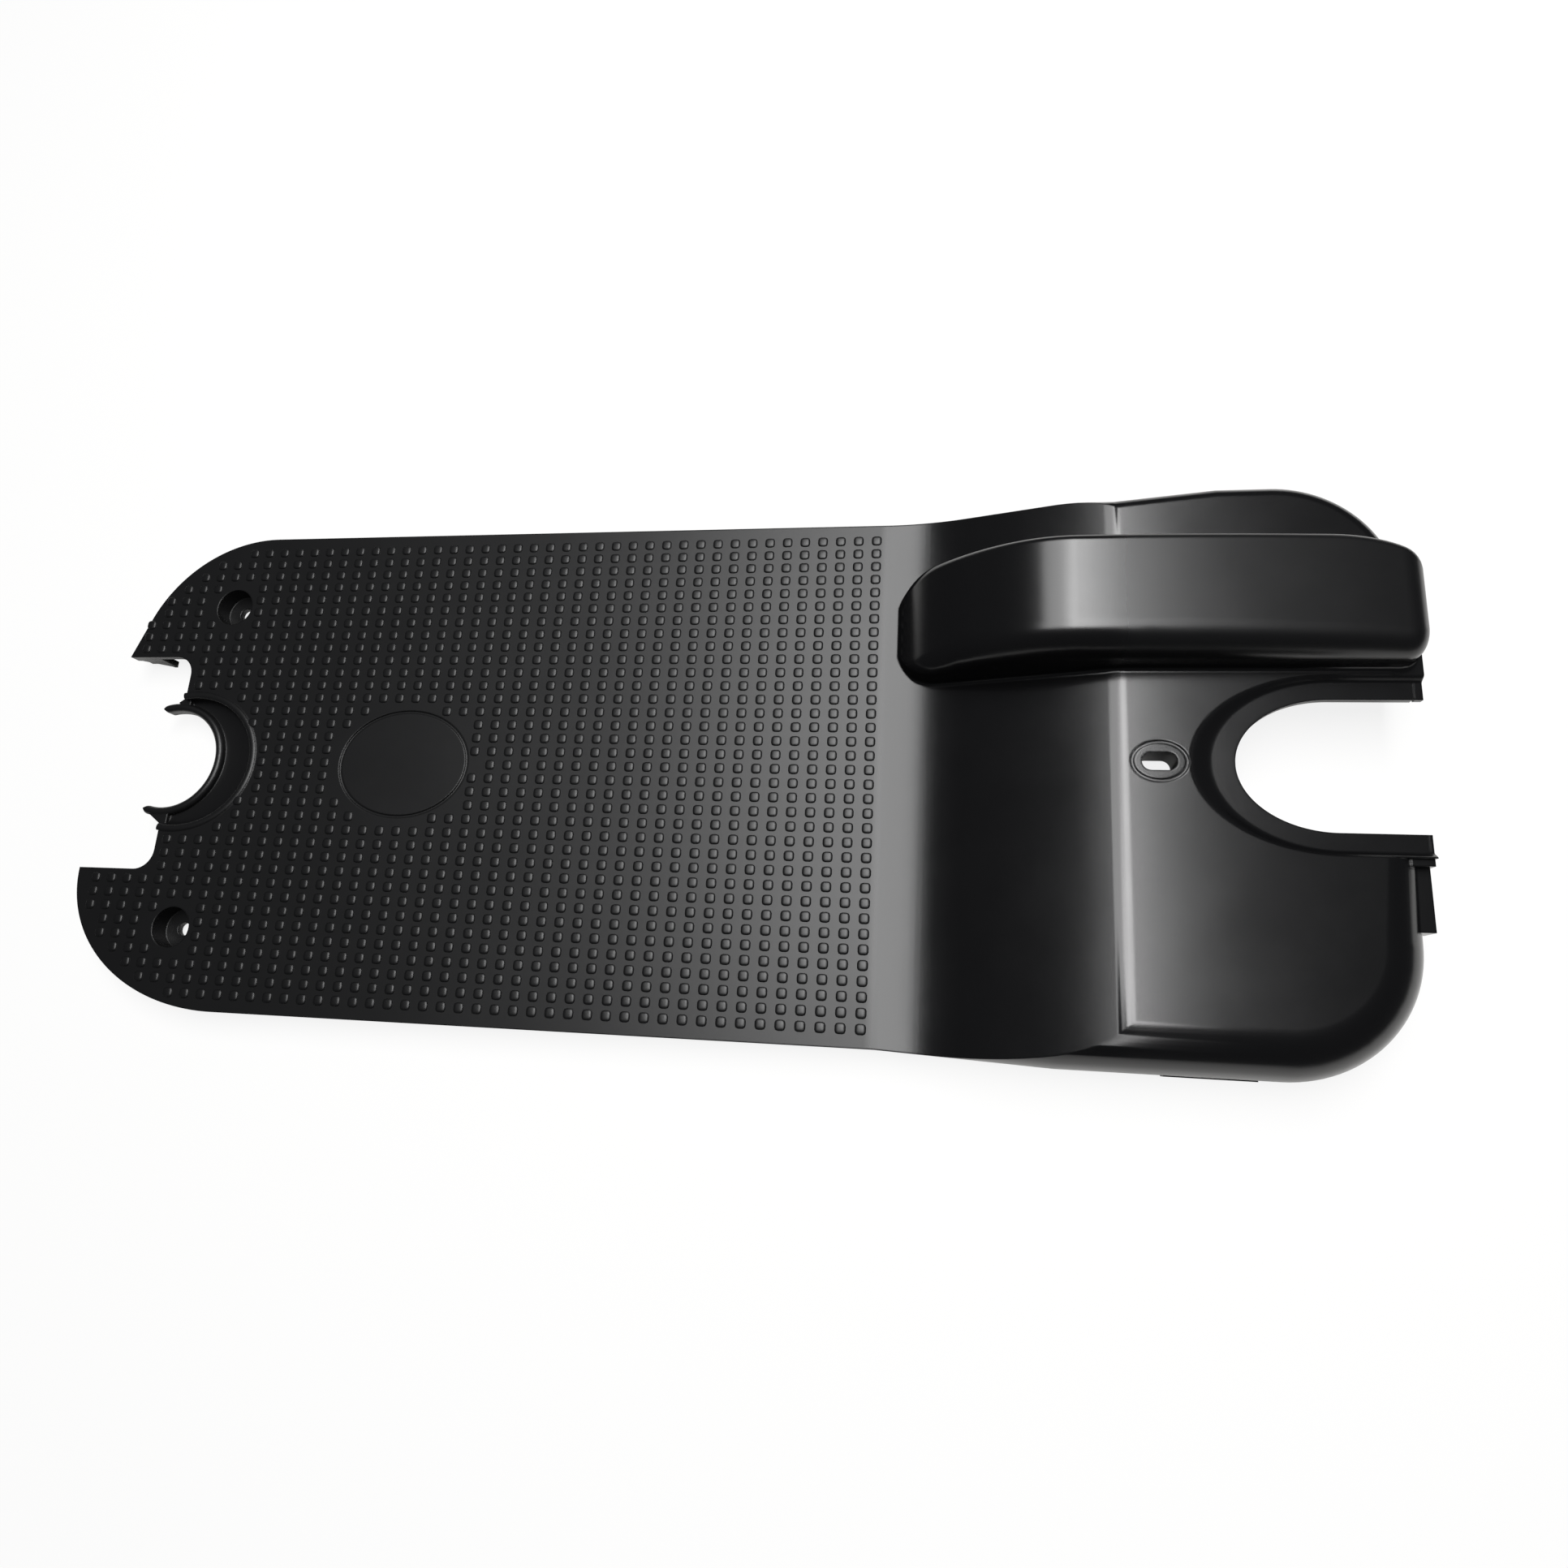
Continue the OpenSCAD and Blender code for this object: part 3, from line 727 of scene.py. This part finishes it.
def buildShell():
    body = combine(outerForm(), bulgeSkin(), "UNION")
    addTabAndLugs(body)
    combine(body, hollowForm(), "DIFFERENCE")
    combine(body, bulgeHollow(), "DIFFERENCE")
    openRearWall(body)
    combine(body, tipBreak(), "DIFFERENCE")
    print("shell: skin and hollow")
    combine(body, collarSeat(), "UNION")
    combine(body, postPad(), "UNION")
    addBosses(body)
    addRibs(body)
    combine(body, tornFlange(), "UNION")
    print("shell: seats, bosses and ribs")
    combine(body, prism("gapCut", gapPlan(0), -past, deck["height"] + past), "DIFFERENCE")
    combine(body, collarBowl(), "DIFFERENCE")
    combine(body, ringRecess(), "DIFFERENCE")
    for piece in gussets():
        combine(body, piece, "UNION")
    combine(body, tube("tube", collar["tubeX"], collar["tubeY"], collar["tubeRadius"] + 0.3, -past,
                       deck["height"] + past, 120), "DIFFERENCE")
    combine(body, tubeLip(), "UNION")
    combine(body, rimBead(), "UNION")
    print("shell: collar and ring")
    combine(body, prism("postCut", uPlan(0, 0, deck["rearX"] + past), -past, platformZ + past),
            "DIFFERENCE")
    hole = shifted(stadium(slot["length"], slot["width"]), slot["x"], 0)
    combine(body, prism("slotCut", hole, 0, platformZ + past), "DIFFERENCE")
    combine(body, grooveRing(slot["x"], slot["seatLength"], slot["seatWidth"], slot["groove"],
                             platformZ, slot["depth"]), "DIFFERENCE")
    combine(body, grooveRing(panel["x"], panel["length"], panel["width"], panel["groove"],
                             deck["height"], panel["depth"]), "DIFFERENCE")
    drillScrews(body)
    print("shell: cuts")
    return body


# Tread: one soft square stud, copied over the deck

tread = {
    "lastX": 76.6,
    "pitchX": 8.0,
    "pitchY": 6.2,
    "size": 4.4,
    "corner": 1.3,
    "sink": 0.3,
    "side": 0.12,
    "dome": [(0.93, 0.38), (0.78, 0.58), (0.52, 0.68)],    # share of the width, and its height
    "height": 0.7,
    "border": 4.2,
    "keep": 3.2,
    "columns": 45,
    "rows": 18,
}


def modelStud():
    half = tread["size"] / 2
    stud = block("stud", (-half, -half, -tread["sink"]), (half, half, tread["side"]))
    openForEdit(stud, "EDGE")
    for edge in stud.data.edges:
        ends = [stud.data.vertices[i].co for i in edge.vertices]
        edge.select = abs(ends[0].z - ends[1].z) > 0.1 * mm
    bpy.ops.object.mode_set(mode="EDIT")
    bpy.ops.mesh.bevel(offset=tread["corner"] * mm, segments=2, profile=0.5, affect="EDGES")
    bpy.ops.object.mode_set(mode="OBJECT")
    openForEdit(stud)
    for face in stud.data.polygons:
        face.select = face.normal.z < -0.9
    bpy.ops.object.mode_set(mode="EDIT")
    bpy.ops.mesh.delete(type="FACE")    # the foot is sunk in the deck
    bpy.ops.object.mode_set(mode="OBJECT")
    for face in stud.data.polygons:
        face.select = face.normal.z > 0.9
    bpy.ops.object.mode_set(mode="EDIT")
    width, z = 1.0, tread["side"]
    for nextWidth, nextZ in tread["dome"]:
        bpy.ops.mesh.extrude_region_move(TRANSFORM_OT_translate={"value": (0, 0, (nextZ - z) * mm)})
        shrink = nextWidth / width
        bpy.ops.transform.resize(value=(shrink, shrink, 1), center_override=(0, 0, 0))
        width, z = nextWidth, nextZ
    bpy.ops.mesh.poke(offset=(tread["height"] - z) * mm)
    bpy.ops.object.mode_set(mode="OBJECT")
    return stud


def studFits(x, y):
    side = abs(y)
    keep = tread["keep"]
    edgeX = deck["frontX"] + deck["cornerReach"]
    edgeY = deck["halfWidth"] - deck["cornerSpread"]
    if side >= deck["halfWidth"] - tread["border"] - tread["size"] / 2:
        return False
    if x <= edgeX and side >= edgeY:
        u = (x - edgeX) / (deck["cornerReach"] - tread["border"])
        v = (side - edgeY) / (deck["cornerSpread"] - tread["border"])
        if u * u + v * v >= 1:
            return False
    if x <= gap["x"] + keep and side <= gap["halfWidth"] + keep:
        return False
    if x <= deck["frontX"] + tread["border"]:
        return False
    if math.hypot(x - collar["rimX"], y) <= collar["rimReach"] + keep - 1:
        return False
    if math.hypot(x - screws["x"], side - screws["y"]) <= screws["bore"] / 2 + keep:
        return False
    u = (x - panel["x"]) / (panel["length"] / 2 + keep)
    v = y / (panel["width"] / 2 + keep)
    return u * u + v * v > 1


def buildTread():
    stud = modelStud()
    copies = []
    for column in range(tread["columns"]):
        for row in range(-tread["rows"], tread["rows"] + 1):
            x = tread["lastX"] - column * tread["pitchX"]
            y = row * tread["pitchY"]
            if not studFits(x, y):
                continue
            mesh = stud.data.copy()
            mesh.transform(Matrix.Translation(Vector((x, y, deck["height"])) * mm))
            copy = bpy.data.objects.new("tread", mesh)
            bpy.context.collection.objects.link(copy)
            copies.append(copy)
    bpy.data.objects.remove(stud, do_unlink=True)
    pickOnly(copies[0])
    for copy in copies:
        copy.select_set(True)
    bpy.ops.object.join()
    piece = bpy.context.object
    print("tread:", len(copies), "studs")
    shadeByAngle(piece, 60)
    return piece


# Materials

def paint(code):
    parts = [int(code[i:i + 2], 16) / 255 for i in (1, 3, 5)]
    linear = [c / 12.92 if c <= 0.04045 else ((c + 0.055) / 1.055) ** 2.4 for c in parts]
    return (linear[0], linear[1], linear[2], 1.0)


def addNode(tree, kind, inputs=None, links=None, settings=None):
    node = tree.nodes.new(kind)
    for name, value in (settings or {}).items():
        setattr(node, name, value)
    for name, value in (inputs or {}).items():
        node.inputs[name].default_value = value
    for name, socket in (links or {}).items():
        tree.links.new(socket, node.inputs[name])
    return node


def emptyMaterial(name):
    material = bpy.data.materials.new(name)
    material.use_nodes = True
    material.node_tree.nodes.clear()
    return material


# Black polypropylene, injection moulded: a near-black body with a soft sheen. The tread is
# textured and duller, and the ramp is the smoothest part.
plastic = {
    "colour": "#0b0b0c",
    "ior": 1.5,
    "tread": 0.37,
    "ramp": 0.12,
    "platform": 0.2,
    "bulge": 0.3,
    "grain": 0.385,     # mm, coarser than the real grain so that it shows
    "patch": 29.4,      # mm, slow change of the sheen
    "edge": 0.9,        # mm, how far sharp edges look rounded
}


def mouldedPolypropylene():
    material = emptyMaterial("mouldedPolypropylene")
    tree = material.node_tree

    def fade(value, low, high, first, last):
        return addNode(tree, "ShaderNodeMapRange", {"From Min": low, "From Max": high, "To Min": first,
                                                    "To Max": last}, {"Value": value}).outputs["Result"]

    def total(a, b):
        return addNode(tree, "ShaderNodeMath", links={0: a, 1: b}).outputs["Value"]

    where = addNode(tree, "ShaderNodeTexCoord").outputs["Object"]
    grain = addNode(tree, "ShaderNodeTexNoise",
                    {"Scale": 1000 / plastic["grain"], "Detail": 2.0, "Roughness": 0.6}, {"Vector": where})
    patch = addNode(tree, "ShaderNodeTexNoise",
                    {"Scale": 1000 / plastic["patch"], "Detail": 5.0, "Roughness": 0.6}, {"Vector": where})
    split = addNode(tree, "ShaderNodeSeparateXYZ", links={"Vector": where})
    footX = ramp["startX"] * mm
    topX = ramp["topX"] * mm
    topZ = platformZ * mm
    onRamp = fade(split.outputs["X"], footX - 0.003, footX + 0.003, plastic["tread"], plastic["ramp"])
    onPlatform = fade(split.outputs["X"], topX - 0.006, topX + 0.004, 0.0,
                      plastic["platform"] - plastic["ramp"])
    onBulge = fade(split.outputs["Z"], topZ + 0.002, topZ + 0.01, 0.0,
                   plastic["bulge"] - plastic["platform"])
    uneven = fade(patch.outputs["Fac"], 0.3, 0.7, -0.01, 0.014)
    rough = total(total(total(onRamp, onPlatform), onBulge), uneven)
    edge = addNode(tree, "ShaderNodeBevel", {"Radius": plastic["edge"] * mm}, settings={"samples": 6})
    bump = addNode(tree, "ShaderNodeBump", {"Strength": 0.12, "Distance": 0.0001},
                   {"Height": grain.outputs["Fac"], "Normal": edge.outputs["Normal"]})
    shader = addNode(tree, "ShaderNodeBsdfPrincipled",
                     {"Base Color": paint(plastic["colour"]), "IOR": plastic["ior"]},
                     {"Roughness": rough, "Normal": bump.outputs["Normal"]})
    addNode(tree, "ShaderNodeOutputMaterial", links={"Surface": shader.outputs["BSDF"]})
    return material


# Matt white paper: it takes the shadow, and the camera sees it almost white
def whitePaper():
    material = emptyMaterial("whitePaper")
    tree = material.node_tree
    matte = addNode(tree, "ShaderNodeBsdfDiffuse", {"Color": paint("#f4f3f1"), "Roughness": 0.0})
    glow = addNode(tree, "ShaderNodeEmission", {"Color": (1, 1, 1, 1), "Strength": 1.0})
    path = addNode(tree, "ShaderNodeLightPath")
    share = addNode(tree, "ShaderNodeMath", {1: 0.85}, {0: path.outputs["Is Camera Ray"]},
                    {"operation": "MULTIPLY"})
    mix = addNode(tree, "ShaderNodeMixShader", links={
        "Fac": share.outputs["Value"], 1: matte.outputs["BSDF"], 2: glow.outputs["Emission"]})
    addNode(tree, "ShaderNodeOutputMaterial", links={"Surface": mix.outputs["Shader"]})
    return material


# Stage and lamps

def makeFloor():
    bpy.ops.mesh.primitive_plane_add(size=12, location=(0, 0, -0.0003))
    floor = bpy.context.object
    floor.name = "floor"
    floor.data.materials.append(whitePaper())


# two panels that hang level over the deck, in metres and watts
lamps = {
    "overhead": {"place": (0.273, 0.377, 1.2), "size": (0.23, 1.25), "power": 14.1},
    "side": {"place": (-0.037, 0.377, 1.2), "size": (0.391, 1.25), "power": 9.6},
}


def lightStage():
    world = bpy.data.worlds.new("room")
    bpy.context.scene.world = world
    world.use_nodes = True
    back = world.node_tree.nodes["Background"]
    back.inputs["Color"].default_value = paint("#eef1f6")
    back.inputs["Strength"].default_value = 0.07
    for name, lamp in lamps.items():
        data = bpy.data.lights.new(name, "AREA")
        data.shape = "RECTANGLE"
        data.size, data.size_y = lamp["size"]
        data.energy = lamp["power"]
        piece = bpy.data.objects.new(name, data)
        piece.location = lamp["place"]
        bpy.context.collection.objects.link(piece)


placeCamera()
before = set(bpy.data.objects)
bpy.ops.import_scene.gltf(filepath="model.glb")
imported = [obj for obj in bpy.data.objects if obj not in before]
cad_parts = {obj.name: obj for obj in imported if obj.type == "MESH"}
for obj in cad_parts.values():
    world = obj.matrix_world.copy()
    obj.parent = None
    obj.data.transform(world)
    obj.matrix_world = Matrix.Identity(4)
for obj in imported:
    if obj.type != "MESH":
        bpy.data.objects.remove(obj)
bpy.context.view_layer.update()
bpy.context.scene.view_settings.view_transform = "Standard"

blackPlastic = mouldedPolypropylene()

moulding = buildShell()
moulding.name = "moulding"
shadeByAngle(moulding, 32)
moulding.data.materials.clear()
moulding.data.materials.append(blackPlastic)
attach(moulding, "root")
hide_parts("floorboard")
print("moulding:", len(moulding.data.polygons), "faces")

studs = buildTread()
studs.data.materials.append(blackPlastic)
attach(studs, "root")
print("tread:", len(studs.data.polygons), "faces")

makeFloor()
lightStage()
